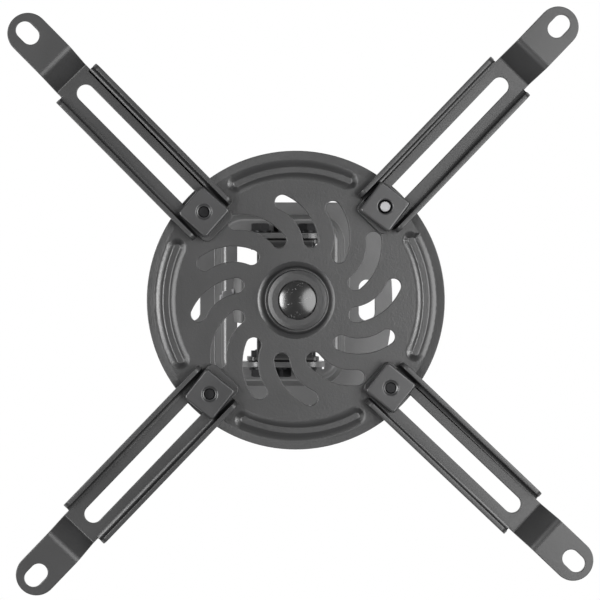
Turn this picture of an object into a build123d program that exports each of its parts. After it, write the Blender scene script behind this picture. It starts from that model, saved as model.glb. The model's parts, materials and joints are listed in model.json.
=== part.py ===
from build123d import *
from math import atan2, cos, degrees, hypot, radians, sin, sqrt
import os

# Projector ceiling mount, in millimetres. The origin is the centre of the face
# that goes against the ceiling, +Z points up into the ceiling, and everything
# hangs below it. Sheet-metal parts are folded and pressed from flat blanks.

# Ceiling plate: a flange with bowed sides, a raised pan and two ears cut from it
plate_sheet = 2.5
plate_width = 104.7
plate_bow_radius = 108.0
plate_edge_back = -45.2
plate_edge_front = 48.6
plate_corner = 6.0
ceiling_slot_spacing = 81.0
ceiling_slot_width = 7.5
ceiling_slot_length = 19.0
pan_width = 60.0
pan_length = 79.0
pan_corner = 13.0
pan_depth = 8.0
pan_wall_run = 3.0
pan_bend = 3.5
window_width = 40.0
ear_width = 38.0
ear_outer_y = 30.2
ear_tip_z = -36.0
ear_tip_corner = 9.0
ear_bend = 1.5

# Tilt joint, about an axis along Y
tilt_z = -19.0
tilt_range = 15.0
lock_x = 10.5
lock_drop = 8.5

# Cross yoke: one folded piece, two cheeks up and two cheeks down
yoke_sheet = 2.0
yoke_bend = 1.5
yoke_cheek_width = 32.0
yoke_web_width = 25.0
yoke_shoulder_z = -33.0
yoke_shoulder = 3.0
yoke_cheek_corner = 9.0
yoke_top_z = -10.0
yoke_web_z = -36.0
yoke_lug_outer_x = 20.5

# Roll joint, about an axis along X, and the lower bracket that swings on it
roll_z = -49.0
bracket_sheet = 2.5
bracket_width = 19.6
bracket_bend = 1.5

# Vented disc, pressed from one sheet, and how far it hangs below the ceiling
disc_back_z = -108.0
disc_sheet = 2.0
disc_radius = 62.6
disc_turn = -1.8
rim_width = 3.2
rim_rise = 0.6
rim_bend = 2.6
boss_height = 3.0
boss_top_radius = 13.3
boss_foot_radius = 14.9
boss_top_bend = 0.4
boss_foot_bend = 0.5
bead_count = 4
bead_half_angle = 25.5
bead_rim_gap = 3.3
bead_outer_slope = 3.1
bead_crown = 2.6
bead_inner_slope = 3.0
bead_height = 1.4
bead_wall_thin = 0.9
bead_root = 0.3
vent_count = 12
vent_width = 6.4
vent_rim_gap = 21.0
vent_hub_gap = 11.2
vent_bow = 0.95
vent_inner_angle = 15.4
vent_middle_angle = 5.4
vent_outer_angle = -6.3

# Swivel joint at the middle of the disc
swivel_radius = 5.0
swivel_head_radius = 7.9
swivel_dome = 2.2
swivel_tail_radius = 7.6
swivel_tail_height = 2.5
collar_radius = 12.7
collar_height = 2.8
collar_floor = 1.0
collar_round = 2.2
spacer_radius = 9.2
spacer_proud = 1.0
tail_chamfer = 1.5
swivel_washer_radius = 8.8
swivel_washer_thickness = 1.5

# Arms: folded channels with a long slot, a joggle and an eye at the end
arm_count = 4
clamp_inset = 8.8
arm_rest_swing = (0.25, 0.75, 2.05, 0.7)
arm_rest_slide = (1.2, -0.9, -0.8, 0.6)
arm_sheet = 2.0
arm_width = 23.4
arm_flange = 7.0
arm_bend = 1.7
arm_flange_start = -4.6
arm_flange_end = 76.4
arm_flange_corner = 3.0
arm_end = -9.8
arm_end_width = 16.8
arm_end_corner = 3.0
arm_slot_width = 7.4
arm_slot_start = -2.2
arm_slot_end = 70.6
neck_width = 16.9
joggle_start = 80.0
joggle_end = 88.7
joggle_height = 9.0
joggle_bend = 3.0
tab_width = 17.1
tab_end_shift = -0.3
tab_hole_x = 104.6
tab_hole_width = 7.4
tab_hole_length = 10.6

# Clamps: a square block on the arm, and a screw through the disc from behind
block_size = 15.7
block_corner = 1.5
block_thickness = 5.0
block_edge = 1.0
block_rest_turn = (-4.75, -5.25, -3.95, -7.1)
screw_recess = (0.9, 1.6, 1.5, 0.1)
screw_radius = 2.8
screw_chamfer = 0.8
screw_head_radius = 4.6
screw_head_height = 3.0
clamp_washer_radius = 5.2
clamp_washer_thickness = 1.2
thread_mouth = 0.5

# Pivot and lock fasteners: shank radius, width across flats, head and nut heights
pivot_radius = 2.5
pivot_flats = 8.0
pivot_head = 3.5
lock_radius = 2.5
lock_flats = 8.0
lock_head = 3.2
thin_nut = 2.7
roll_nut = 4.0
washer_thickness = 1.0
washer_margin = 1.0
bolt_past_nut = 0.5
roll_bolt_past_nut = 1.2
fastener_chamfer = 0.5

# Clearances: between faces that move, round a running shaft, round a plain bolt
face_gap = 0.25
running_gap = 0.06
hole_gap = 0.15
slot_gap = 0.35

# How far a cut passes the sheet, and how much of a half width a round end takes
overcut = 1.0
end_round = 0.98

# Places that follow from the sizes above
plate_half = plate_width / 2
pan_floor_z = -pan_depth
pan_face_z = pan_floor_z - plate_sheet
ear_inner_y = ear_outer_y - plate_sheet
lock_arm = hypot(lock_x, lock_drop)
lock_angle = degrees(atan2(lock_drop, lock_x))
yoke_cheek_outer_y = ear_inner_y - face_gap
yoke_cheek_inner_y = yoke_cheek_outer_y - yoke_sheet
yoke_under_z = yoke_web_z - yoke_sheet
yoke_lug_inner_x = yoke_lug_outer_x - yoke_sheet
bracket_inner_x = yoke_lug_outer_x + face_gap
bracket_outer_x = bracket_inner_x + bracket_sheet
bracket_round = bracket_width / 2
bend_outside = yoke_bend + yoke_sheet
disc_front_z = disc_back_z - disc_sheet
boss_back_z = disc_back_z - boss_height
boss_front_z = boss_back_z - disc_sheet
spacer_top_z = disc_back_z + spacer_proud
spacer_low_z = boss_back_z + face_gap
bracket_floor_z = spacer_top_z + bracket_sheet
collar_top_z = boss_front_z - face_gap
collar_face_z = collar_top_z - collar_height
arm_back_z = disc_front_z - face_gap
arm_front_z = arm_back_z - arm_sheet
block_back_z = arm_front_z - face_gap
block_face_z = block_back_z - block_thickness
tab_end = tab_hole_x + tab_end_shift + tab_width / 2
rim_start = disc_radius - rim_width
bead_outer_foot = disc_radius - bead_rim_gap
bead_outer_top = bead_outer_foot - bead_outer_slope
bead_inner_top = bead_outer_top - bead_crown
bead_inner_foot = bead_inner_top - bead_inner_slope
vent_outer_radius = disc_radius - vent_rim_gap
vent_inner_radius = boss_foot_radius + vent_hub_gap
vent_middle_radius = (vent_outer_radius + vent_inner_radius) / 2 + vent_bow
clamp_circle_radius = disc_radius - clamp_inset


def polar(radius, angle):
    return (radius * cos(radians(angle)), radius * sin(radians(angle)))


def facing_down(z):
    """A drawing plane at height z whose outward side is down."""
    return Plane(origin=(0, 0, z), x_dir=(1, 0, 0), z_dir=(0, 0, -1))


def folded(plane, points, bend, sheet, side, width):
    """Sheet of the given thickness folded along a line, as wide as width."""
    with BuildPart() as strip:
        with BuildSketch(plane):
            with BuildLine():
                FilletPolyline(*points, radius=bend)
                offset(amount=sheet, side=side)
            make_face()
        extrude(amount=width / 2, both=True)
    return strip.part


def drill(direction, reach, radius, place):
    """Rod through place for a hole, as long as reach to both sides."""
    return Plane(origin=place, z_dir=direction) * Cylinder(radius, 2 * reach)


def outward(direction, distance, place):
    """Plane that faces direction, at distance along it from place."""
    origin = Vector(*place) + Vector(*direction) * distance
    return Plane(origin=origin, z_dir=direction)


def hex_bolt(radius, flats, head, length):
    """Head above the local plane, shank below it."""
    head_solid = extrude(RegularPolygon(flats / 2, 6, major_radius=False), head)
    crown = Cylinder(flats / sqrt(3), head, align=(Align.CENTER, Align.CENTER, Align.MIN))
    crown = chamfer(crown.edges().sort_by(Axis.Z)[-1], fastener_chamfer)
    shank = Cylinder(radius, length, align=(Align.CENTER, Align.CENTER, Align.MAX))
    shank = chamfer(shank.edges().sort_by(Axis.Z)[0], fastener_chamfer)
    return (head_solid & crown) + shank


def hex_nut(radius, flats, height):
    """Nut below the local plane, one face on it."""
    body = extrude(RegularPolygon(flats / 2, 6, major_radius=False), -height)
    crown = Cylinder(flats / sqrt(3), height, align=(Align.CENTER, Align.CENTER, Align.MAX))
    crown = chamfer(crown.edges().sort_by(Axis.Z)[0], fastener_chamfer)
    return (body & crown) - Cylinder(radius, 3 * height)


def washer(radius, outer_radius, thickness):
    """Washer above the local plane."""
    return extrude(Circle(outer_radius) - Circle(radius), thickness)


def fastener_set(direction, places, radius, flats, head, nut, past, outer, inner, head_side):
    """Bolts, washers and nuts that clamp between the faces at outer and inner.

    The washer lies on the outer face, which moves. The head is outside where
    head_side is 1 and inside where it is -1.
    """
    bolts = []
    washers = []
    nuts = []
    bore = radius + hole_gap / 2
    faces = (outer + washer_thickness, inner)
    head_face, nut_face = faces[::head_side]
    length = faces[0] - faces[1] + nut + past
    facing = tuple(head_side * part for part in direction)
    for place in places:
        ring = washer(bore, flats / 2 + washer_margin, washer_thickness)
        washers.append(outward(direction, outer, place) * ring)
        bolt = hex_bolt(radius, flats, head, length)
        bolts.append(outward(facing, head_side * head_face, place) * bolt)
        nuts.append(outward(facing, head_side * nut_face, place) * hex_nut(bore, flats, nut))
    return bolts, washers, nuts


def pan_block(z_top, width_top, length_top, corner_top, z_low, inset):
    """Rounded block that narrows by inset on each side from z_top to z_low."""
    upper = Pos(0, 0, z_top) * RectangleRounded(width_top, length_top, corner_top)
    lower = Pos(0, 0, z_low) * RectangleRounded(
        width_top - 2 * inset, length_top - 2 * inset, corner_top - inset
    )
    return loft([upper, lower], ruled=True)


def ceiling_plate():
    bow = plate_bow_radius
    outline = Pos(plate_half - bow, 0) * Circle(bow) & Pos(bow - plate_half, 0) * Circle(bow)
    span = Pos(0, (plate_edge_back + plate_edge_front) / 2) * Rectangle(
        plate_width, plate_edge_front - plate_edge_back
    )
    outline = outline & span
    outline = fillet(outline.vertices(), plate_corner)
    flange = extrude(outline, -plate_sheet)

    slope = pan_wall_run / pan_depth
    wall = plate_sheet * sqrt(1 + slope * slope)
    outer = pan_block(-plate_sheet, pan_width, pan_length, pan_corner, pan_face_z, pan_wall_run)
    outer = fillet(outer.faces().sort_by(Axis.Z)[0].edges(), pan_bend)
    shrink = 2 * (wall - plate_sheet * slope)
    inner = pan_block(
        0, pan_width - shrink, pan_length - shrink, pan_corner - shrink / 2, pan_floor_z, pan_wall_run
    )
    inner = fillet(inner.faces().sort_by(Axis.Z)[0].edges(), pan_bend - plate_sheet)
    plate = flange + outer - inner

    bend_room = ear_bend + plate_sheet
    window_reach = ear_inner_y + bend_room
    window = Box(window_width, 2 * window_reach, 2 * pan_depth + 4 * plate_sheet)
    plate = plate - window

    for side in (-1, 1):
        lead = (side * (window_reach + overcut), pan_floor_z)
        corner = (side * ear_inner_y, pan_floor_z)
        tip = (side * ear_inner_y, ear_tip_z)
        turn = Side.LEFT if side > 0 else Side.RIGHT
        ear = folded(Plane.YZ, (lead, corner, tip), bend_room, plate_sheet, turn, ear_width)
        tip_edges = ear.edges().filter_by(Axis.Y).group_by(Axis.Z)[0]
        ear = fillet(tip_edges, ear_tip_corner)
        plate = plate + ear

    plate = plate - drill((0, 1, 0), ear_outer_y, pivot_radius + running_gap, (0, 0, tilt_z))
    for side in (-1, 1):
        plate = plate - lock_slot(side)
        slot = SlotOverall(ceiling_slot_length, ceiling_slot_width, rotation=90)
        slot = Pos(side * ceiling_slot_spacing / 2, 0) * slot
        plate = plate - extrude(slot, plate_sheet, both=True)
    return plate


def lock_slot(side):
    """Arc slot through both ears, wide enough for the lock bolts over the tilt."""
    middle = -90 + side * (90 - lock_angle)
    ends = [middle - tilt_range, middle, middle + tilt_range]
    arc = ThreePointArc(*[polar(lock_arm, angle) for angle in ends])
    sketch = SlotArc(arc, 2 * (lock_radius + slot_gap))
    plane = Plane(origin=(0, 0, tilt_z), x_dir=(1, 0, 0), z_dir=(0, -1, 0))
    return extrude(plane * sketch, ear_outer_y, both=True)


def yoke_cheek_blank():
    """Outline of the cheeks seen along Y: broad plates that narrow to the web."""
    plate = Rectangle(
        yoke_cheek_width, yoke_top_z - yoke_shoulder_z, align=(Align.CENTER, Align.MIN)
    )
    plate = fillet(plate.vertices().group_by(Axis.Y)[0], yoke_shoulder)
    plate = fillet(plate.vertices().group_by(Axis.Y)[-1], yoke_cheek_corner)
    web = Rectangle(yoke_web_width, yoke_top_z - yoke_under_z, align=(Align.CENTER, Align.MAX))
    outline = Pos(0, yoke_shoulder_z) * plate + Pos(0, yoke_top_z) * web
    return extrude(Plane.XZ * outline, yoke_cheek_outer_y, both=True)


def cross_yoke():
    cheek = yoke_cheek_outer_y
    points = ((-cheek, yoke_top_z), (-cheek, yoke_under_z), (cheek, yoke_under_z), (cheek, yoke_top_z))
    cheeks = folded(Plane.YZ, points, bend_outside, yoke_sheet, Side.LEFT, yoke_cheek_width)
    cheeks = cheeks & yoke_cheek_blank()

    lug = yoke_lug_outer_x
    low = roll_z - bracket_round
    points = ((-lug, low), (-lug, yoke_web_z), (lug, yoke_web_z), (lug, low))
    lugs = folded(Plane.XZ, points, bend_outside, yoke_sheet, Side.RIGHT, bracket_width)
    low_edges = lugs.edges().filter_by(Axis.X).group_by(Axis.Z)[0]
    lugs = fillet(low_edges, bracket_round * end_round)

    yoke = cheeks + lugs
    yoke = yoke - drill((0, 1, 0), cheek, pivot_radius + hole_gap, (0, 0, tilt_z))
    yoke = yoke - drill((1, 0, 0), lug, pivot_radius + hole_gap, (0, 0, roll_z))
    for side in (-1, 1):
        place = (side * lock_x, 0, tilt_z - lock_drop)
        yoke = yoke - drill((0, 1, 0), cheek, lock_radius + hole_gap, place)
    return yoke


def lower_bracket():
    high = roll_z + bracket_round
    reach = bracket_outer_x
    low = bracket_floor_z - bracket_sheet
    points = ((-reach, high), (-reach, low), (reach, low), (reach, high))
    bracket = folded(
        Plane.XZ, points, bracket_bend + bracket_sheet, bracket_sheet, Side.LEFT, bracket_width
    )
    top_edges = bracket.edges().filter_by(Axis.X).group_by(Axis.Z)[-1]
    bracket = fillet(top_edges, bracket_round * end_round)
    bracket = bracket - drill((1, 0, 0), reach, pivot_radius + running_gap, (0, 0, roll_z))
    return bracket - drill((0, 0, 1), bracket_sheet, swivel_radius + hole_gap, (0, 0, bracket_floor_z))


def disc_bead(z, narrower, root):
    """One bead at angle 0 that stands down from z, with round ends, as a solid."""
    foot = (bead_inner_foot + narrower, bead_outer_foot - narrower)
    top = (bead_inner_top + narrower, bead_outer_top - narrower)
    low = z - bead_height
    profile = Polyline(
        (foot[0], z + root), (foot[0], z), (top[0], low), (top[1], low), (foot[1], z),
        (foot[1], z + root), close=True,
    )
    bead = revolve(Plane.XZ * make_face(profile), Axis.Z, 2 * bead_half_angle)
    bead = Rot(0, 0, -bead_half_angle) * bead
    middle = (bead_inner_top + bead_outer_top) / 2
    for side in (-1, 1):
        x, y = polar(middle, side * bead_half_angle)
        bead = bead + Pos(x, y, z) * Cone(
            middle - foot[0], (top[1] - top[0]) / 2, bead_height,
            align=(Align.CENTER, Align.CENTER, Align.MIN), rotation=(180, 0, 0),
        )
    return bead


def vented_disc():
    hub = swivel_radius + running_gap
    points = (
        (hub, boss_back_z), (boss_top_radius, boss_back_z), (boss_foot_radius, disc_back_z),
        (rim_start, disc_back_z), (disc_radius, disc_back_z + rim_rise),
    )
    bends = (boss_top_bend, boss_foot_bend + disc_sheet, rim_bend)
    with BuildPart() as blank:
        with BuildSketch(Plane.XZ):
            with BuildLine():
                FilletPolyline(*points, radius=bends)
                offset(amount=disc_sheet, side=Side.RIGHT)
            make_face()
        revolve(axis=Axis.Z)
    disc = blank.part

    front = disc_bead(disc_front_z, 0, bead_root)
    groove = disc_bead(disc_back_z, bead_wall_thin, overcut)
    for index in range(bead_count):
        turn = Rot(0, 0, index * 360 / bead_count)
        disc = disc + turn * front
    for index in range(bead_count):
        turn = Rot(0, 0, index * 360 / bead_count)
        disc = disc - turn * groove

    arc = ThreePointArc(
        polar(vent_inner_radius, vent_inner_angle), polar(vent_middle_radius, vent_middle_angle),
        polar(vent_outer_radius, vent_outer_angle),
    )
    vent = Pos(0, 0, disc_back_z + overcut) * SlotArc(arc, vent_width)
    vent = extrude(vent, -(disc_sheet + 2 * overcut))
    for index in range(vent_count):
        disc = disc - Rot(0, 0, index * 360 / vent_count) * vent
    for index in range(arm_count):
        x, y = polar(clamp_circle_radius, clamp_angle(index) - disc_turn)
        disc = disc - Pos(x, y, disc_front_z) * Cylinder(screw_radius + hole_gap, 4 * disc_sheet)
    return Rot(0, 0, disc_turn) * disc


def swivel_rivet():
    """Domed head in the collar, shank up through the disc, tail formed above."""
    seat_z = collar_face_z + collar_height - collar_floor
    tail_z = bracket_floor_z + swivel_washer_thickness
    edge_z = collar_face_z
    with BuildPart() as rivet:
        with BuildSketch(Plane.XZ):
            with BuildLine():
                Polyline(
                    (0, edge_z - swivel_dome), (0, tail_z + swivel_tail_height),
                    (swivel_tail_radius - tail_chamfer, tail_z + swivel_tail_height),
                    (swivel_tail_radius, tail_z + swivel_tail_height - tail_chamfer),
                    (swivel_tail_radius, tail_z), (swivel_radius, tail_z),
                    (swivel_radius, seat_z), (swivel_head_radius, seat_z),
                    (swivel_head_radius, edge_z),
                )
                dome = (swivel_head_radius ** 2 + swivel_dome ** 2) / (2 * swivel_dome)
                RadiusArc((0, edge_z - swivel_dome), (swivel_head_radius, edge_z), -dome)
            make_face()
        revolve(axis=Axis.Z)
    return rivet.part


def swivel_collar():
    """Turned cup washer: its rim is rounded and its floor is under the rivet head."""
    with BuildPart() as collar:
        with BuildSketch(Plane.XZ):
            with BuildLine():
                floor_z = collar_top_z - collar_floor
                bore = swivel_radius + hole_gap
                cup = swivel_head_radius + slot_gap
                Polyline(
                    (bore, floor_z), (bore, collar_top_z), (collar_radius, collar_top_z),
                    (collar_radius, collar_face_z), (cup, collar_face_z), (cup, floor_z), close=True,
                )
            make_face()
            rim = vertices().sort_by(lambda corner: corner.X - corner.Y)[-1]
            fillet(rim, collar_round)
        revolve(axis=Axis.Z)
    return collar.part


def arm():
    """One arm along +X, with the clamp screw's axis at the origin."""
    length = arm_flange_end - arm_flange_start
    back = arm_back_z
    low = back - arm_flange
    half = arm_width / 2
    points = ((-half, low), (-half, back), (half, back), (half, low))
    channel = folded(Plane.YZ, points, arm_bend + arm_sheet, arm_sheet, Side.RIGHT, length)
    channel = Pos((arm_flange_start + arm_flange_end) / 2, 0, 0) * channel
    end_edges = channel.edges().filter_by(Axis.Y).group_by(Axis.Z)[0]
    channel = fillet(end_edges, arm_flange_corner)

    tab_back = back - joggle_height
    points = ((arm_end, back), (joggle_start, back), (joggle_end, tab_back), (tab_end, tab_back))
    strip = folded(Plane.XZ, points, joggle_bend, arm_sheet, Side.RIGHT, tab_width)
    tongue = arm_flange_start - arm_end + arm_end_corner + overcut
    tongue_shape = Pos(arm_end + tongue / 2, 0) * Rectangle(tongue, arm_end_width)
    tongue_shape = fillet(tongue_shape.vertices().group_by(Axis.X)[0], arm_end_corner)
    neck_start = arm_flange_end - arm_end_corner
    half_neck = neck_width / 2
    half_tab = tab_width / 2
    tab_round_x = tab_end - half_tab
    neck = make_face(Polyline(
        (neck_start, -half_neck), (joggle_start, -half_neck), (joggle_end, -half_tab),
        (tab_round_x, -half_tab), (tab_round_x, half_tab), (joggle_end, half_tab),
        (joggle_start, half_neck), (neck_start, half_neck), close=True,
    ))
    flat = tongue_shape + neck + Pos(tab_round_x, 0) * Circle(half_tab)
    blank = extrude(Pos(0, 0, back + overcut) * flat, -(joggle_height + arm_sheet + 2 * overcut))
    piece = channel + (strip & blank)

    slot_middle = (arm_slot_start + arm_slot_end) / 2
    slot = SlotOverall(arm_slot_end - arm_slot_start + arm_slot_width, arm_slot_width)
    slot = Pos(slot_middle, 0, back + overcut) * slot
    piece = piece - extrude(slot, -(arm_sheet + 2 * overcut))
    hole = Pos(tab_hole_x, 0, tab_back + overcut) * SlotOverall(tab_hole_length, tab_hole_width)
    return piece - extrude(hole, -(arm_sheet + 2 * overcut))


def clamp_angle(index):
    return 45 + index * 360 / arm_count + disc_turn


def clamp_place(index, turn=0.0):
    """Where clamp number index stands, turned with its arm and by turn more."""
    x, y = polar(clamp_circle_radius, clamp_angle(index))
    return Pos(x, y, 0) * Rot(0, 0, clamp_angle(index) + arm_rest_swing[index] + turn)


def clamp_block():
    block = extrude(facing_down(block_back_z) * RectangleRounded(block_size, block_size, block_corner),
                    block_thickness)
    block = fillet(block.faces().sort_by(Axis.Z)[0].edges(), block_edge)
    thread = screw_radius + running_gap
    block = block - Pos(0, 0, block_face_z) * Cylinder(thread, 4 * block_thickness)
    mouth = Cone(thread + thread_mouth, thread, thread_mouth, align=(Align.CENTER, Align.CENTER, Align.MIN))
    return block - Pos(0, 0, block_face_z) * mouth


def clamp_screw(recess):
    """Round-headed screw, head above the disc, end recess short of the block's face."""
    seat_z = disc_back_z + face_gap + clamp_washer_thickness
    shank = facing_down(seat_z) * Cylinder(
        screw_radius, seat_z - block_face_z - recess, align=(Align.CENTER, Align.CENTER, Align.MIN)
    )
    shank = chamfer(shank.edges().sort_by(Axis.Z)[0], screw_chamfer)
    head = Pos(0, 0, seat_z) * Cylinder(
        screw_head_radius, screw_head_height, align=(Align.CENTER, Align.CENTER, Align.MIN)
    )
    head = fillet(head.edges().sort_by(Axis.Z)[-1], screw_head_height / 2)
    return shank + head


def clamp_washer():
    ring = washer(screw_radius + hole_gap, clamp_washer_radius, clamp_washer_thickness)
    return Pos(0, 0, disc_back_z + face_gap) * ring


def ring_between(z_low, z_high, bore, radius):
    return Pos(0, 0, z_low) * extrude(Circle(radius) - Circle(bore), z_high - z_low)


def all_nodes():
    nodes = {
        "ceiling_plate": ceiling_plate(),
        "cross_yoke": cross_yoke(),
        "lower_bracket": lower_bracket(),
        "vented_disc": vented_disc(),
        "swivel_rivet": swivel_rivet(),
        "swivel_collar": swivel_collar(),
    }
    hub = swivel_radius + hole_gap
    nodes["swivel_spacer"] = ring_between(spacer_low_z, spacer_top_z, hub, spacer_radius)
    nodes["swivel_washer"] = ring_between(
        bracket_floor_z, bracket_floor_z + swivel_washer_thickness, hub, swivel_washer_radius
    )

    sets = {
        "tilt_pivot": (
            ((0, 1, 0), (0, -1, 0)), ((0, 0, tilt_z),), pivot_radius, pivot_flats, pivot_head,
            thin_nut, bolt_past_nut, ear_outer_y + face_gap, yoke_cheek_inner_y, 1,
        ),
        "tilt_lock": (
            ((0, 1, 0), (0, -1, 0)),
            ((lock_x, 0, tilt_z - lock_drop), (-lock_x, 0, tilt_z - lock_drop)),
            lock_radius, lock_flats, lock_head, thin_nut, bolt_past_nut, ear_outer_y + face_gap,
            yoke_cheek_inner_y, 1,
        ),
        "roll_pivot": (
            ((1, 0, 0), (-1, 0, 0)), ((0, 0, roll_z),), pivot_radius, pivot_flats, pivot_head,
            roll_nut, roll_bolt_past_nut, bracket_outer_x + face_gap, yoke_lug_inner_x, -1,
        ),
    }
    for name, (directions, *sizes) in sets.items():
        groups = ([], [], [])
        for direction in directions:
            made = fastener_set(direction, *sizes)
            for group, pieces in zip(groups, made):
                group.extend(pieces)
        for kind, group in zip(("bolts", "washers", "nuts"), groups):
            nodes[f"{name}_{kind}"] = Compound(children=group)

    for index in range(arm_count):
        number = index + 1
        nodes[f"arm_{number}"] = clamp_place(index) * Pos(arm_rest_slide[index], 0, 0) * arm()
        nodes[f"clamp_block_{number}"] = clamp_place(index, block_rest_turn[index]) * clamp_block()
        nodes[f"clamp_screw_{number}"] = clamp_place(index) * clamp_screw(screw_recess[index])
        nodes[f"clamp_washer_{number}"] = clamp_place(index) * clamp_washer()
    return nodes


os.makedirs("parts", exist_ok=True)
for node, shape in all_nodes().items():
    export_step(shape, f"parts/{node}.step")
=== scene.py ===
import json
import math

import bmesh
import bpy
from mathutils import Matrix, Vector


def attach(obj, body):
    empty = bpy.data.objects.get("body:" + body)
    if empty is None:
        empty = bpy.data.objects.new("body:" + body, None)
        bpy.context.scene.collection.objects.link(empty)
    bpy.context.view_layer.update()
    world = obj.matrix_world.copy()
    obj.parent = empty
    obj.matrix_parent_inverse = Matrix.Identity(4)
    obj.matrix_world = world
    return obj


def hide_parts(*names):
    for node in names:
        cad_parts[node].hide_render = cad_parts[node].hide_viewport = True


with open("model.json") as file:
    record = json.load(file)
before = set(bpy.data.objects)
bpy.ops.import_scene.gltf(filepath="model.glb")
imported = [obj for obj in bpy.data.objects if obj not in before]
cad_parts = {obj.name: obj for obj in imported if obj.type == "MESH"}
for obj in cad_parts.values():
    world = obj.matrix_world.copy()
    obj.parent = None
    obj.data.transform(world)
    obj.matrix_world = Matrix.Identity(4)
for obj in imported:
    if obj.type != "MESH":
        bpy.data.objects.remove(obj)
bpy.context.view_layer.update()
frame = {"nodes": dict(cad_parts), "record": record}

# Lengths are in metres
MM = 0.001

SLOTS = {row["node"]: row["material_slot"] for row in frame["record"]["subparts"]}
BODIES = {node: body for body, held in frame["record"]["behaviour"]["bodies"].items() for node in held}

# Heights of the front faces, which look down at the viewer, and of the collar's back
DISC_Z = -110 * MM
COLLAR_FRONT_Z = -116.05 * MM
COLLAR_BACK_Z = -113.3 * MM

# View of the photograph: from below, with the camera a little to the -X side, and then moved
# to the picture's right and up by AIM_RIGHT and AIM_UP
CAMERA_DISTANCE = 1.10
CAMERA_YAW = 4.2
CAMERA_NEAR = 0.05
CAMERA_FAR = 20.0
PICTURE_SPAN = 0.2526
AIM_RIGHT = 0.00151
AIM_UP = 0.00005
SENSOR = 36.0

# Studio: a tall narrow box on the left and a large round one on the right
LEFT_TOWARD = (-0.58, 0.0, -0.815)
LEFT_SIZE = (0.3, 0.55)
LEFT_RADIANCE = 13.0
RIGHT_TOWARD = (0.6, 0.0, -0.8)
RIGHT_SIZE = (0.88, 0.88)
RIGHT_RADIANCE = 4.2
LIGHT_DISTANCE = 1.0
AMBIENT = 0.28
FLOOR_Z = -2.6
FLOOR_HALF = 30.0
FLOOR_GREY = (0.9, 0.9, 0.9, 1)
FLOOR_ROUGHNESS = 0.9
WHITE = (1, 1, 1, 1)

# Tones of the finishes, in linear light, and the shares by which they vary
CHARCOAL = (0.015, 0.015, 0.0155)
BLOCK_CHARCOAL = (0.028, 0.028, 0.029)
# Painted light: the ceiling plate's charcoal coat is given a much lighter grey, for the light that
# reaches it between the disc and the ceiling
PLATE_GREY_WITH_PAINTED_LIGHT = (0.13, 0.13, 0.131)
GLOSS_BLACK = (0.008, 0.008, 0.008)
WORN_GREY = (0.25, 0.25, 0.25)
BLACK_ZINC = (0.03, 0.03, 0.031)
DULL_ZINC = (0.4, 0.4, 0.41)
TIP_HIGHLIGHT_TONE = (0.4, 0.4, 0.405)
NYLON_DARK = (0.02, 0.02, 0.02)
NYLON_LIGHT = (0.035, 0.035, 0.035)
COAT_MOTTLE = 0.15
ZINC_MOTTLE = 0.3

# Roughness of the finishes
PLATE_ROUGHNESS = 0.32
SHEET_ROUGHNESS = 0.36
BLOCK_ROUGHNESS = 0.3
COAT_UNEVEN = 0.02
GLOSS_ROUGHNESS = 0.2
WORN_ROUGHNESS = 0.5
SCREW_ROUGHNESS = 0.36
ZINC_ROUGHNESS = 0.4
ZINC_SMOOTHER = 0.06
ZINC_ROUGHER = 0.08
NYLON_ROUGHNESS = 0.5

# Relief and spots of the finishes: a scale is in cells to a metre, a grain is a depth, the
# orange peel is PEEL_TO_GRAIN times as deep as the grain on it, and a span is the part of a
# noise's range that is spread from 0 to 1
NOISE_SPAN = (0.3, 0.7)
PEEL_SCALE = 930
GRAIN_SCALE = 2530
CLOUD_SCALE = 40
PEEL_TO_GRAIN = 2
DISC_GRAIN = 0.026 * MM
SHEET_GRAIN = 0.012 * MM
BLOCK_GRAIN = 0.008 * MM
ARM_GRAIN = 0.006 * MM
ZINC_MOTTLE_SCALE = 300
ZINC_GRAIN_SCALE = 2500
ZINC_GRAIN = 0.006 * MM
SPECK_SCALE = 1500
SPECK_SPAN = (0.6, 0.68)
CLUSTER_SCALE = 230
CLUSTER_SPAN = (0.5, 0.62)
SCUFF_SCALE = 700
SCUFF_GRAIN = 0.01 * MM
NYLON_SCALE = 1200
NYLON_GRAIN = 0.02 * MM

# Painted highlight: a clamp screw whose tip stands at the block's face gets a light steel tone there,
# for the light that the flush tip catches
TIP_HIGHLIGHT_BELOW_Z = -117.2 * MM
TIP_HIGHLIGHT_FADE = 0.1 * MM

# Cleaning of the meshes, and the edges that are broken: those that turn by more than SHARP_ANGLE
WELD = 0.05 * MM
SLIVER = 0.02 * MM
SMALLEST_FACE = 0.02 * MM * MM
FLAT_ANGLE = math.radians(0.3)
SHARP_ANGLE = math.radians(20)
TUCK_ANGLE = math.radians(80)
EDGE_SEGMENTS = 2
NORMAL_WEIGHT = 80
DISC_EDGE = 0.35 * MM
ARM_EDGE = 0.3 * MM
BLOCK_EDGE = 0.25 * MM
SHEET_EDGE = 0.25 * MM
RIVET_EDGE = 0.15 * MM
COLLAR_EDGE = 0.1 * MM

# The disc's beads: their walls steepen in an arc from the flat up to the crown, apart from
# the share of their height that rises evenly. Edges within BEAD_FOOT_ZONE of the flat, near
# the rim, belong to a bead's foot.
BEADS_FROM_RADIUS = 45 * MM
BEAD_MIDDLE_RADIUS = 54.9 * MM
BEAD_HEIGHT = 1.4 * MM
BEAD_WALL_STEEPEST = math.radians(46)
BEAD_WALL_CUTS = 7
BEAD_EVEN_INSIDE = 0.1
BEAD_EVEN_OUTSIDE = 0.3
BEAD_FOOT_ZONE = 0.5 * MM

# The disc's rim leans forward, by RIM_LEAN times the distance outside RIM_RADIUS. Its cut
# edge lies outside RIM_EDGE_RADIUS.
RIM_RADIUS = 59.4 * MM
RIM_EDGE_RADIUS = 62 * MM
RIM_LEAN = 0.281

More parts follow.
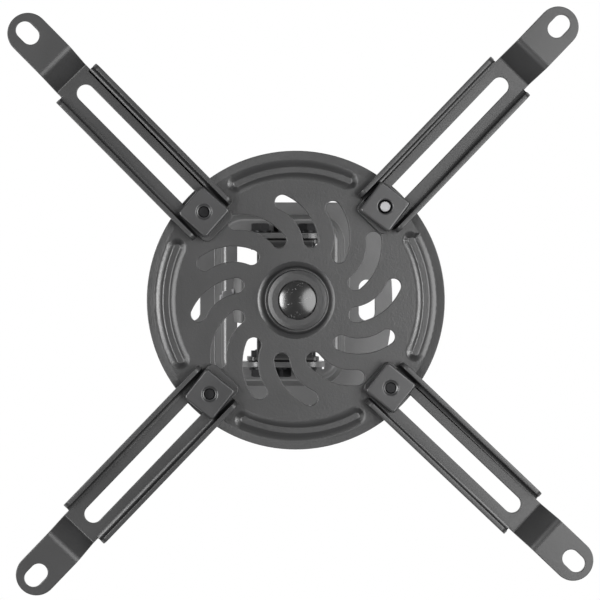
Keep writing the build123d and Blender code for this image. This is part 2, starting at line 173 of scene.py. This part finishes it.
# The boss's slope flares out into the disc's flat: radius and height along it in millimetres.
# It moves the front's points, those outside BOSS_ROUND_FROM or higher than BOSS_TOP, and
# BOSS_WALL holds the ranges of radius in which the two ends of the plain slope lie.
BOSS_PROFILE = (
    (16.45, 0.0), (16.0, 0.17), (15.5, 0.38), (15.0, 0.66), (14.6, 1.0), (14.25, 1.45),
    (13.95, 2.0), (13.75, 2.5), (13.5, 2.85), (13.1, 3.0),
)
BOSS_OUTER_RADIUS = BOSS_PROFILE[0][0] * MM
BOSS_INNER_RADIUS = BOSS_PROFILE[-1][0] * MM
BOSS_ROUND_FROM = 13.6 * MM
BOSS_TOP = 2.5 * MM
BOSS_WALL = ((15.1 * MM, 15.35 * MM), (15.9 * MM, 16.1 * MM))
BOSS_WALL_CUTS = 5

# The rivet's domed end is flatter than the plain one, and starts at the collar's front
DOME_RADIUS = 8.0 * MM
DOME_SHARE = 0.64

# The collar's outer zone curls up into a low lip
LIP_FROM_RADIUS = 10.3 * MM
LIP_RADIUS = 12.5 * MM
LIP_HEIGHT = 0.35 * MM
LIP_CURL = 1.3

# Thread crests in a clamp block's bore, in front of its screw's end
BORE_MOUTH_Z = -117.0 * MM
BORE_RADIUS = 2.92 * MM
CREST_RADIUS = 2.4 * MM
CREST_PITCH = 0.5 * MM
CREST_SIDES = 64


def add_to_scene(name, data):
    """New object in the scene that shows the given mesh, camera or light."""
    made = bpy.data.objects.new(name, data)
    bpy.context.scene.collection.objects.link(made)
    return made


def make_camera():
    data = bpy.data.cameras.new("camera")
    data.sensor_width = SENSOR
    data.lens = SENSOR * CAMERA_DISTANCE / PICTURE_SPAN
    data.clip_start = CAMERA_NEAR
    data.clip_end = CAMERA_FAR
    camera = add_to_scene("camera", data)
    yaw = math.radians(CAMERA_YAW)
    look = Vector((math.sin(yaw), 0, math.cos(yaw)))
    right = Vector((math.cos(yaw), 0, -math.sin(yaw)))
    up = Vector((0, -1, 0))
    place = Vector((0, 0, DISC_Z)) - look * CAMERA_DISTANCE + right * AIM_RIGHT + up * AIM_UP
    camera.matrix_world = Matrix((
        (right.x, up.x, -look.x, place.x),
        (right.y, up.y, -look.y, place.y),
        (right.z, up.z, -look.z, place.z),
        (0, 0, 0, 1),
    ))
    bpy.context.scene.camera = camera


def softbox(name, toward, size, radiance, shape):
    """Softbox in the given direction from the disc's centre, facing it."""
    data = bpy.data.lights.new(name, "AREA")
    data.shape = shape
    data.size, data.size_y = size
    area = size[0] * size[1] * (math.pi / 4 if shape == "ELLIPSE" else 1)
    data.energy = radiance * math.pi * area
    light = add_to_scene(name, data)
    light.visible_camera = False
    toward = Vector(toward).normalized()
    light.location = Vector((0, 0, DISC_Z)) + toward * LIGHT_DISTANCE
    side = Vector((0, 1, 0)).cross(toward).normalized()
    turn = Matrix((side, toward.cross(side), toward)).transposed()
    light.rotation_mode = "QUATERNION"
    light.rotation_quaternion = turn.to_quaternion()


def make_world():
    """White to the camera and in reflections, a lower plain level as light."""
    world = bpy.data.worlds.new("studio")
    bpy.context.scene.world = world
    world.use_nodes = True
    nodes, links = world.node_tree.nodes, world.node_tree.links
    nodes.clear()
    out = nodes.new("ShaderNodeOutputWorld")
    mix = nodes.new("ShaderNodeMixShader")
    ambient = nodes.new("ShaderNodeBackground")
    ambient.inputs["Color"].default_value = WHITE
    ambient.inputs["Strength"].default_value = AMBIENT
    white = nodes.new("ShaderNodeBackground")
    white.inputs["Color"].default_value = WHITE
    white.inputs["Strength"].default_value = 1.0
    path = nodes.new("ShaderNodeLightPath")
    seen = nodes.new("ShaderNodeMath")
    seen.operation = "MAXIMUM"
    either = nodes.new("ShaderNodeMath")
    either.operation = "MAXIMUM"
    links.new(path.outputs["Is Camera Ray"], seen.inputs[0])
    links.new(path.outputs["Is Glossy Ray"], seen.inputs[1])
    links.new(seen.outputs[0], either.inputs[0])
    links.new(path.outputs["Is Transmission Ray"], either.inputs[1])
    links.new(either.outputs[0], mix.inputs["Fac"])
    links.new(ambient.outputs[0], mix.inputs[1])
    links.new(white.outputs[0], mix.inputs[2])
    links.new(mix.outputs[0], out.inputs["Surface"])


def floor_material():
    """White to the camera, and a plain light grey to all other rays."""
    material = bpy.data.materials.new("floor")
    material.use_nodes = True
    nodes, links = material.node_tree.nodes, material.node_tree.links
    plain = nodes["Principled BSDF"]
    plain.inputs["Base Color"].default_value = FLOOR_GREY
    plain.inputs["Roughness"].default_value = FLOOR_ROUGHNESS
    white = nodes.new("ShaderNodeEmission")
    white.inputs["Color"].default_value = WHITE
    white.inputs["Strength"].default_value = 1.0
    mix = nodes.new("ShaderNodeMixShader")
    path = nodes.new("ShaderNodeLightPath")
    links.new(path.outputs["Is Camera Ray"], mix.inputs["Fac"])
    links.new(plain.outputs[0], mix.inputs[1])
    links.new(white.outputs[0], mix.inputs[2])
    links.new(mix.outputs[0], nodes["Material Output"].inputs["Surface"])
    return material


def make_floor():
    mesh = bpy.data.meshes.new("floor")
    signs = ((-1, -1), (1, -1), (1, 1), (-1, 1))
    corners = [(x * FLOOR_HALF, y * FLOOR_HALF, FLOOR_Z) for x, y in signs]
    mesh.from_pydata(corners, [], [(0, 1, 2, 3)])
    mesh.materials.append(floor_material())
    floor = add_to_scene("floor", mesh)


def new_finish(name, roughness, specular, metallic=0.0):
    """New material, its Principled shader and the object's own coordinates."""
    material = bpy.data.materials.new(name)
    material.use_nodes = True
    shader = material.node_tree.nodes["Principled BSDF"]
    shader.inputs["Roughness"].default_value = roughness
    shader.inputs["Specular IOR Level"].default_value = specular
    shader.inputs["Metallic"].default_value = metallic
    coords = material.node_tree.nodes.new("ShaderNodeTexCoord")
    return material, shader, coords.outputs["Object"]


def noise(material, where, scale, detail):
    """Noise from 0 to 1 with the given number of cells to a metre."""
    texture = material.node_tree.nodes.new("ShaderNodeTexNoise")
    texture.inputs["Scale"].default_value = scale
    texture.inputs["Detail"].default_value = detail
    material.node_tree.links.new(where, texture.inputs["Vector"])
    return texture.outputs["Fac"]


def ramp(material, value, span, target=(0.0, 1.0)):
    """Value carried over from the range span to the range target, and held at its ends."""
    stretch = material.node_tree.nodes.new("ShaderNodeMapRange")
    stretch.inputs["From Min"].default_value = span[0]
    stretch.inputs["From Max"].default_value = span[1]
    stretch.inputs["To Min"].default_value = target[0]
    stretch.inputs["To Max"].default_value = target[1]
    material.node_tree.links.new(value, stretch.inputs["Value"])
    return stretch.outputs["Result"]


def tint(material, value, dark, light):
    """Colour between dark and light, by the value."""
    mix = material.node_tree.nodes.new("ShaderNodeMix")
    mix.data_type = "RGBA"
    mix.inputs["A"].default_value = (*dark, 1)
    mix.inputs["B"].default_value = (*light, 1)
    material.node_tree.links.new(value, mix.inputs["Factor"])
    return mix.outputs["Result"]


def mottled(material, value, color, spread):
    """Colour that varies with the value, by the share spread each way."""
    dark = [(1 - spread) * channel for channel in color]
    light = [(1 + spread) * channel for channel in color]
    return tint(material, value, dark, light)


def bump(material, shader, height, depth, under=None):
    """Relief on the shader's surface, on top of the relief under it if there is one."""
    nodes, links = material.node_tree.nodes, material.node_tree.links
    node = nodes.new("ShaderNodeBump")
    node.inputs["Strength"].default_value = 1.0
    node.inputs["Distance"].default_value = depth
    links.new(height, node.inputs["Height"])
    if under:
        links.new(under, node.inputs["Normal"])
    links.new(node.outputs["Normal"], shader.inputs["Normal"])
    return node.outputs["Normal"]


def powder_coat(name, color, roughness=SHEET_ROUGHNESS, grain=SHEET_GRAIN):
    """Powder coat: fine orange peel with finer grain on it, and a slightly uneven sheen."""
    material, shader, where = new_finish(name, roughness, specular=1.0)
    links = material.node_tree.links
    peel = noise(material, where, PEEL_SCALE, detail=2)
    fine = noise(material, where, GRAIN_SCALE, detail=2)
    cloud = noise(material, where, CLOUD_SCALE, detail=4)
    tone = mottled(material, ramp(material, cloud, NOISE_SPAN), color, COAT_MOTTLE)
    links.new(tone, shader.inputs["Base Color"])
    sheen = ramp(material, cloud, NOISE_SPAN, (roughness - COAT_UNEVEN, roughness + COAT_UNEVEN))
    links.new(sheen, shader.inputs["Roughness"])
    below = bump(material, shader, peel, PEEL_TO_GRAIN * grain)
    bump(material, shader, fine, grain, under=below)
    return material


def glossy_black(name):
    """Domed rivet end: glossy black, faintly scuffed, with clusters of fine worn specks."""
    material, shader, where = new_finish(name, GLOSS_ROUGHNESS, specular=1.0)
    links = material.node_tree.links
    specks = ramp(material, noise(material, where, SPECK_SCALE, detail=4), SPECK_SPAN)
    clusters = ramp(material, noise(material, where, CLUSTER_SCALE, detail=2), CLUSTER_SPAN)
    worn = material.node_tree.nodes.new("ShaderNodeMath")
    worn.operation = "MULTIPLY"
    links.new(specks, worn.inputs[0])
    links.new(clusters, worn.inputs[1])
    links.new(tint(material, worn.outputs[0], GLOSS_BLACK, WORN_GREY), shader.inputs["Base Color"])
    sheen = ramp(material, worn.outputs[0], (0, 1), (GLOSS_ROUGHNESS, WORN_ROUGHNESS))
    links.new(sheen, shader.inputs["Roughness"])
    bump(material, shader, noise(material, where, SCUFF_SCALE, detail=3), SCUFF_GRAIN)
    return material


def paint_tip_highlight(material, where, tone):
    """The given tone, and a painted highlight in a light steel tone below the height of a flush screw
    tip.
    """
    nodes, links = material.node_tree.nodes, material.node_tree.links
    split = nodes.new("ShaderNodeSeparateXYZ")
    links.new(where, split.inputs["Vector"])
    mix = nodes.new("ShaderNodeMix")
    mix.data_type = "RGBA"
    mix.inputs["A"].default_value = (*TIP_HIGHLIGHT_TONE, 1)
    links.new(tone, mix.inputs["B"])
    above = ramp(material, split.outputs["Z"], (TIP_HIGHLIGHT_BELOW_Z, TIP_HIGHLIGHT_BELOW_Z + TIP_HIGHLIGHT_FADE))
    links.new(above, mix.inputs["Factor"])
    return mix.outputs["Result"]


def plated(name, color, roughness, painted_tip=False):
    """Plated steel: metal with a mottled tone and sheen and a fine grain."""
    material, shader, where = new_finish(name, roughness, specular=0.5, metallic=1.0)
    links = material.node_tree.links
    mottle = noise(material, where, ZINC_MOTTLE_SCALE, detail=4)
    tone = mottled(material, mottle, color, ZINC_MOTTLE)
    # Painted highlight: light steel tone on a flush screw tip
    if painted_tip:
        tone = paint_tip_highlight(material, where, tone)
    links.new(tone, shader.inputs["Base Color"])
    sheen = ramp(material, mottle, NOISE_SPAN, (roughness - ZINC_SMOOTHER, roughness + ZINC_ROUGHER))
    links.new(sheen, shader.inputs["Roughness"])
    bump(material, shader, noise(material, where, ZINC_GRAIN_SCALE, detail=2), ZINC_GRAIN)
    return material


def nylon(name):
    """Black nylon: dull, with a fine moulded grain."""
    material, shader, where = new_finish(name, NYLON_ROUGHNESS, specular=0.5)
    grain = noise(material, where, NYLON_SCALE, detail=3)
    tone = tint(material, grain, NYLON_DARK, NYLON_LIGHT)
    material.node_tree.links.new(tone, shader.inputs["Base Color"])
    bump(material, shader, grain, NYLON_GRAIN)
    return material


FINISHES = {
    # The plate's finish carries painted light in its lighter grey
    "ceiling_plate": powder_coat("coat_plate_painted_light", PLATE_GREY_WITH_PAINTED_LIGHT, PLATE_ROUGHNESS),
    "gimbal": powder_coat("coat_gimbal", CHARCOAL),
    "disc": powder_coat("coat_disc", CHARCOAL, grain=DISC_GRAIN),
    "arm": powder_coat("coat_arm", CHARCOAL, grain=ARM_GRAIN),
    "block": powder_coat("coat_block", BLOCK_CHARCOAL, BLOCK_ROUGHNESS, BLOCK_GRAIN),
    "rivet": glossy_black("glossy_black"),
    "screw": plated("black_screw", BLACK_ZINC, SCREW_ROUGHNESS, painted_tip=True),
    "steel": plated("dull_zinc", DULL_ZINC, ZINC_ROUGHNESS),
    "nylon": nylon("black_nylon"),
}
black_zinc = plated("black_zinc", BLACK_ZINC, ZINC_ROUGHNESS)


def dress(piece, slot):
    piece.data.materials.clear()
    piece.data.materials.append(FINISHES[slot])


def bead_rise(share, even):
    """Height of a bent wall at a share of the plain one's height, both from 0 to 1."""
    whole = 1 - math.cos(BEAD_WALL_STEEPEST)
    arc = (1 - math.sqrt(1 - (share * math.sin(BEAD_WALL_STEEPEST)) ** 2)) / whole
    return even * share + (1 - even) * arc


def bend_bead_walls(shape):
    """Divides the straight bead walls on the disc's front and bends them into arcs."""
    def is_foot(vert):
        return abs(vert.co.z - DISC_Z) < WELD and vert.co.xy.length > BEADS_FROM_RADIUS

    def is_crown(vert):
        return abs(vert.co.z - (DISC_Z - BEAD_HEIGHT)) < WELD

    def is_wall(edge):
        return any(is_foot(vert) for vert in edge.verts) and any(is_crown(vert) for vert in edge.verts)

    walls = [edge for edge in shape.edges if is_wall(edge)]
    bmesh.ops.subdivide_edges(shape, edges=walls, cuts=BEAD_WALL_CUTS, use_grid_fill=True)
    for vert in shape.verts:
        share = (DISC_Z - vert.co.z) / BEAD_HEIGHT
        if vert.co.xy.length > BEADS_FROM_RADIUS and 0 < share < 1:
            outside = vert.co.xy.length > BEAD_MIDDLE_RADIUS
            even = BEAD_EVEN_OUTSIDE if outside else BEAD_EVEN_INSIDE
            vert.co.z = DISC_Z - BEAD_HEIGHT * bead_rise(share, even)


def lean_rim(shape):
    for vert in shape.verts:
        vert.co.z -= RIM_LEAN * max(vert.co.xy.length - RIM_RADIUS, 0)


def boss_height(radius):
    """Height of the flared boss over the disc's flat at a radius, both in metres."""
    for (outer, low), (inner, high) in zip(BOSS_PROFILE, BOSS_PROFILE[1:]):
        if radius >= inner * MM:
            share = (outer - radius / MM) / (outer - inner)
            return (low + share * (high - low)) * MM
    return BOSS_PROFILE[-1][1] * MM


def flare_boss(shape):
    """Divides the boss's straight slope and flares its front out into the flat."""
    def is_wall(edge):
        radii = sorted(vert.co.xy.length for vert in edge.verts)
        front = all(vert.co.z < DISC_Z for vert in edge.verts)
        return front and all(low < radius < high for radius, (low, high) in zip(radii, BOSS_WALL))

    walls = [edge for edge in shape.edges if is_wall(edge)]
    bmesh.ops.subdivide_edges(shape, edges=walls, cuts=BOSS_WALL_CUTS, use_grid_fill=True)
    for vert in shape.verts:
        radius = vert.co.xy.length
        height = DISC_Z - vert.co.z
        front = height > 0 and (radius > BOSS_ROUND_FROM or height > BOSS_TOP)
        if front and BOSS_INNER_RADIUS < radius < BOSS_OUTER_RADIUS:
            vert.co.z = DISC_Z - boss_height(radius)


def press_disc(shape):
    bend_bead_walls(shape)
    lean_rim(shape)
    flare_boss(shape)


def level_crowns(mesh):
    """Puts back into the crowns' plane what the rounding pushed out of it at a bead's end."""
    for vert in mesh.vertices:
        if BEADS_FROM_RADIUS < vert.co.xy.length < RIM_RADIUS:
            vert.co.z = max(vert.co.z, DISC_Z - BEAD_HEIGHT)


def flatten_dome(shape):
    for vert in shape.verts:
        if vert.co.z < COLLAR_FRONT_Z and vert.co.xy.length < DOME_RADIUS:
            vert.co.z = COLLAR_FRONT_Z + DOME_SHARE * (vert.co.z - COLLAR_FRONT_Z)


def curl_lip(shape):
    """Turns the collar's rounded outer zone into a dished one that ends in a lip."""
    zone = [
        vert for vert in shape.verts
        if vert.co.z < COLLAR_BACK_Z and vert.co.xy.length > LIP_FROM_RADIUS
    ]
    highest = max(vert.co.z for vert in zone)
    drop = highest - COLLAR_FRONT_Z
    for vert in zone:
        radius = vert.co.xy.length
        if radius < LIP_RADIUS:
            share = (radius - LIP_FROM_RADIUS) / (LIP_RADIUS - LIP_FROM_RADIUS)
            vert.co.z = COLLAR_FRONT_Z - LIP_HEIGHT * share ** LIP_CURL
        else:
            vert.co.z -= (LIP_HEIGHT + drop) * (highest - vert.co.z) / drop


def runs_out(edge):
    """Whether an edge of the disc fades out: a bead's foot at the rim, the flare, a bead end's tuck."""
    places = [(vert.co.xy.length, vert.co.z) for vert in edge.verts]
    foot = all(
        RIM_RADIUS - 2 * BEAD_FOOT_ZONE < radius < RIM_EDGE_RADIUS and abs(z - DISC_Z) < BEAD_FOOT_ZONE
        for radius, z in places
    )
    flare = all(BOSS_INNER_RADIUS - WELD < radius < BOSS_OUTER_RADIUS + WELD for radius, _ in places)
    raised = any(radius > BEADS_FROM_RADIUS and z < DISC_Z - BEAD_HEIGHT / 2 for radius, z in places)
    tuck = raised and edge.calc_face_angle(0) > TUCK_ANGLE
    return foot or flare or tuck


def is_sharp(edge):
    """Whether the edge turns sharply between two faces, each large enough for a broken edge."""
    if len(edge.link_faces) != 2 or edge.calc_face_angle(0) <= SHARP_ANGLE:
        return False
    return min(face.calc_area() for face in edge.link_faces) > SMALLEST_FACE


def merge_slivers(shape):
    bmesh.ops.remove_doubles(shape, verts=shape.verts, dist=WELD)
    bmesh.ops.dissolve_degenerate(shape, dist=SLIVER, edges=shape.edges)


def clean_copy(name, reshape, leave):
    """Copy of a node's mesh: cleaned, reshaped, smooth, and with weights on the edges to break."""
    mesh = frame["nodes"][name].data.copy()
    mesh.attributes.remove(mesh.attributes["custom_normal"])
    shape = bmesh.new()
    shape.from_mesh(mesh)
    merge_slivers(shape)
    bmesh.ops.dissolve_limit(shape, angle_limit=FLAT_ANGLE, verts=shape.verts, edges=shape.edges)
    if reshape:
        reshape(shape)
        merge_slivers(shape)
    weight = shape.edges.layers.float.new("bevel_weight_edge")
    for edge in shape.edges:
        edge.smooth = True
        breaks = is_sharp(edge) and not (leave and leave(edge))
        edge[weight] = 1.0 if breaks else 0.0
    for face in shape.faces:
        face.smooth = True
    shape.to_mesh(mesh)
    shape.free()
    return mesh


def break_edges(piece, width):
    """Bevels the piece's weighted edges and evens its normals out over the faces beside them."""
    edges = piece.modifiers.new("edges", "BEVEL")
    edges.width = width
    edges.segments = EDGE_SEGMENTS
    edges.limit_method = "WEIGHT"
    edges.use_clamp_overlap = False
    edges.loop_slide = False
    edges.harden_normals = False
    normals = piece.modifiers.new("normals", "WEIGHTED_NORMAL")
    normals.weight = NORMAL_WEIGHT
    normals.keep_sharp = True
    evaluated = piece.evaluated_get(bpy.context.evaluated_depsgraph_get())
    shaped = bpy.data.meshes.new_from_object(evaluated)
    piece.modifiers.clear()
    piece.data = shaped
    shaped.name = piece.name


def rounded(name, width, reshape=None, leave=None):
    """Copy of a node with its sharp edges broken, as pressed and coated steel has them.

    The function reshape changes the shape first, and leave tells which sharp edges stay.
    """
    piece = add_to_scene(name + "_finished", clean_copy(name, reshape, leave))
    break_edges(piece, width)
    dress(piece, SLOTS[name])
    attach(piece, BODIES[name])
    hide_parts(name)
    return piece


def thread_profile(end_z):
    """Radius and height of the thread's crests and roots, from the bore's mouth to its screw's end."""
    profile = [(BORE_RADIUS, BORE_MOUTH_Z)]
    for crest in range(round((end_z - BORE_MOUTH_Z) / CREST_PITCH)):
        z = BORE_MOUTH_Z + crest * CREST_PITCH
        profile += [(CREST_RADIUS, z + CREST_PITCH / 2), (BORE_RADIUS, z + CREST_PITCH)]
    return profile


def bore_thread(number):
    """Lathed crests of the thread in a clamp block's bore."""
    screw = [vert.co for vert in frame["nodes"][f"clamp_screw_{number}"].data.vertices]
    x = (min(point.x for point in screw) + max(point.x for point in screw)) / 2
    y = (min(point.y for point in screw) + max(point.y for point in screw)) / 2
    profile = thread_profile(min(point.z for point in screw))
    turns = [2 * math.pi * side / CREST_SIDES for side in range(CREST_SIDES)]
    points = [
        (x + radius * math.cos(turn), y + radius * math.sin(turn), z)
        for radius, z in profile for turn in turns
    ]
    faces = []
    for ring in range(len(profile) - 1):
        for side in range(CREST_SIDES):
            here = ring * CREST_SIDES + side
            beside = ring * CREST_SIDES + (side + 1) % CREST_SIDES
            faces.append((here, beside, beside + CREST_SIDES, here + CREST_SIDES))
    name = f"bore_thread_{number}"
    mesh = bpy.data.meshes.new(name)
    mesh.from_pydata(points, [], faces)
    piece = add_to_scene(name, mesh)
    dress(piece, "block")
    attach(piece, BODIES[f"clamp_block_{number}"])


make_camera()
make_world()
make_floor()
softbox("left_box", LEFT_TOWARD, LEFT_SIZE, LEFT_RADIANCE, "RECTANGLE")
softbox("right_box", RIGHT_TOWARD, RIGHT_SIZE, RIGHT_RADIANCE, "ELLIPSE")
for name, node in frame["nodes"].items():
    dress(node, SLOTS[name])
    if name.startswith("tilt_"):
        node.data.materials[0] = black_zinc
disc = rounded("vented_disc", DISC_EDGE, reshape=press_disc, leave=runs_out)
level_crowns(disc.data)
rounded("swivel_rivet", RIVET_EDGE, reshape=flatten_dome)
rounded("swivel_collar", COLLAR_EDGE, reshape=curl_lip)
for number in (1, 2, 3, 4):
    rounded(f"arm_{number}", ARM_EDGE)
    rounded(f"clamp_block_{number}", BLOCK_EDGE)
for number in (1, 2, 3):
    bore_thread(number)
for name in ("ceiling_plate", "cross_yoke", "lower_bracket"):
    rounded(name, SHEET_EDGE)
bpy.context.scene.view_settings.view_transform = "Standard"
